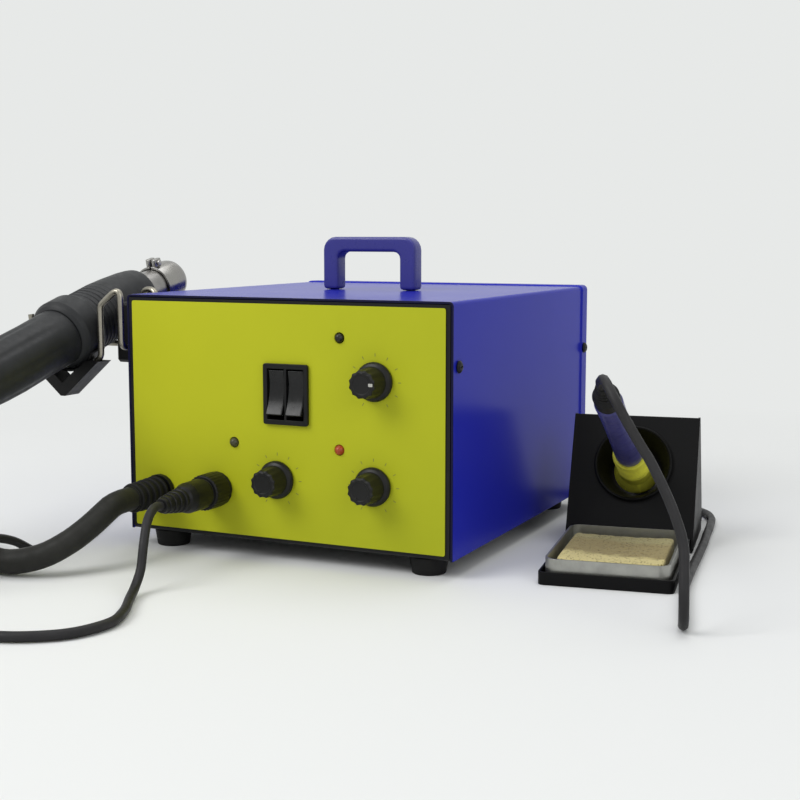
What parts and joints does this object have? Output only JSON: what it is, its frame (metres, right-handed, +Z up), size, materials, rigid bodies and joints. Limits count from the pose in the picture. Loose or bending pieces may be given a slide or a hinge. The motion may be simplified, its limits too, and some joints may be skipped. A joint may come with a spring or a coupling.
{
  "type": "hot air rework station",
  "caption": "Benchtop soldering and desoldering station: folded metal case with carry handle, hot air gun on hose in a side holder, and soldering iron in a stand.",
  "frame": {"origin": "on the standing surface, under the middle of the bounding box of everything except the hose, the iron's cord, and the boot and plug that they start from", "axes": "+X to the station's right as seen from the front, from the gun holder towards the iron stand; +Y from the front panel to the rear panel; +Z up"},
  "size_m": [0.5136, 0.422, 0.1655],
  "materials": {
    "cover_blue": "semi-gloss blue paint",
    "handle_blue": "glossy moulded plastic",
    "overlay_lime": "printed satin film",
    "chassis_black": "black powder coat",
    "rubber_black": "matt rubber",
    "plastic_black": "satin moulded plastic",
    "gun_grey": "satin dark grey plastic",
    "steel": "polished stainless steel",
    "wire_steel": "bright steel wire and strip",
    "ceramic": "white ceramic, stored as a matt hard material",
    "lamp_red": "clear tinted resin",
    "lamp_dark": "clear tinted resin",
    "lamp_smoke": "clear tinted resin",
    "hose_rubber": "soft silicone hose",
    "cord_rubber": "soft silicone cord",
    "iron_blue": "satin plastic",
    "iron_lime": "soft grip",
    "tray_grey": "pressed bare metal",
    "sponge_yellow": "dry cellulose sponge",
    "tip_iron": "plated tip",
    "core_steel": "laminated and plated steel",
    "pump_zinc": "cast housing",
    "board_green": "solder mask",
    "air_tube_clear": "soft translucent tube"
  },
  "bodies": {
    "station": {"chassis": "chassis_black", "panel_overlay": "overlay_lime", "cover": "cover_blue", "rear_panel": "chassis_black", "mains_inlet": "plastic_black", "carry_handle": "handle_blue", "foot_front_left": "rubber_black", "foot_front_right": "rubber_black", "foot_rear_left": "rubber_black", "foot_rear_right": "rubber_black", "cover_screw_front_left": "chassis_black", "cover_screw_front_right": "chassis_black", "cover_screw_rear_left": "chassis_black", "cover_screw_rear_right": "chassis_black", "power_switch_housing": "plastic_black", "potentiometer_hot_air": "core_steel", "potentiometer_airflow": "core_steel", "potentiometer_iron": "core_steel", "lamp_hot_air": "lamp_dark", "lamp_iron": "lamp_red", "lamp_power": "lamp_smoke", "air_outlet": "plastic_black", "hose_boot": "rubber_black", "iron_socket": "plastic_black", "iron_plug": "plastic_black", "transformer": "core_steel", "air_pump": "pump_zinc", "air_tube": "air_tube_clear", "circuit_board": "board_green", "holder_block": "plastic_black", "holder_wire_front": "wire_steel", "holder_wire_rear": "wire_steel", "holder_saddle": "plastic_black", "stand_base": "chassis_black", "stand_plate": "chassis_black", "stand_funnel": "chassis_black", "stand_spring": "wire_steel", "sponge_tray": "tray_grey", "sponge": "sponge_yellow", "hose_from_outlet": "hose_rubber", "hose_coil": "hose_rubber", "iron_cord": "cord_rubber"},
    "rocker_left": {"rocker_left": "plastic_black"},
    "rocker_right": {"rocker_right": "plastic_black"},
    "knob_hot_air": {"knob_hot_air": "plastic_black"},
    "knob_airflow": {"knob_airflow": "plastic_black"},
    "knob_iron": {"knob_iron": "plastic_black"},
    "gun": {"gun_handle": "gun_grey", "gun_housing": "gun_grey", "gun_pipe": "steel", "gun_nozzle": "steel", "gun_heater": "ceramic", "gun_boot": "rubber_black", "hose_to_gun": "hose_rubber"},
    "iron": {"iron_handle": "iron_blue", "iron_grip": "iron_lime", "iron_barrel": "steel", "iron_tip": "tip_iron", "iron_boot": "rubber_black", "iron_cord_rise": "cord_rubber"}
  },
  "joints": [
    {"name": "rocker_left_hinge", "type": "hinge", "parent": "station", "child": "rocker_left", "pos_m": [-0.01956, -0.04909, 0.087], "axis": [1, 0, 0], "range_deg": [0, 16]},
    {"name": "rocker_right_hinge", "type": "hinge", "parent": "station", "child": "rocker_right", "pos_m": [-0.00846, -0.04909, 0.087], "axis": [1, 0, 0], "range_deg": [0, 16]},
    {"name": "knob_hot_air_turn", "type": "hinge", "parent": "station", "child": "knob_hot_air", "pos_m": [0.03549, -0.05259, 0.0957], "axis": [0, 1, 0], "range_deg": [-240, 60]},
    {"name": "knob_airflow_turn", "type": "hinge", "parent": "station", "child": "knob_airflow", "pos_m": [-0.02001, -0.05259, 0.043], "axis": [0, 1, 0], "range_deg": [0, 300]},
    {"name": "knob_iron_turn", "type": "hinge", "parent": "station", "child": "knob_iron", "pos_m": [0.03449, -0.05259, 0.0437], "axis": [0, 1, 0], "range_deg": [0, 300]},
    {"name": "gun_lift", "type": "slide", "parent": "station", "child": "gun", "axis": [0, 0, 1], "range_m": [0, 0.055]},
    {"name": "iron_pull", "type": "slide", "parent": "station", "child": "iron", "axis": [0.1349, -0.9028, 0.4083], "range_m": [0, 0.06]}
  ]
}
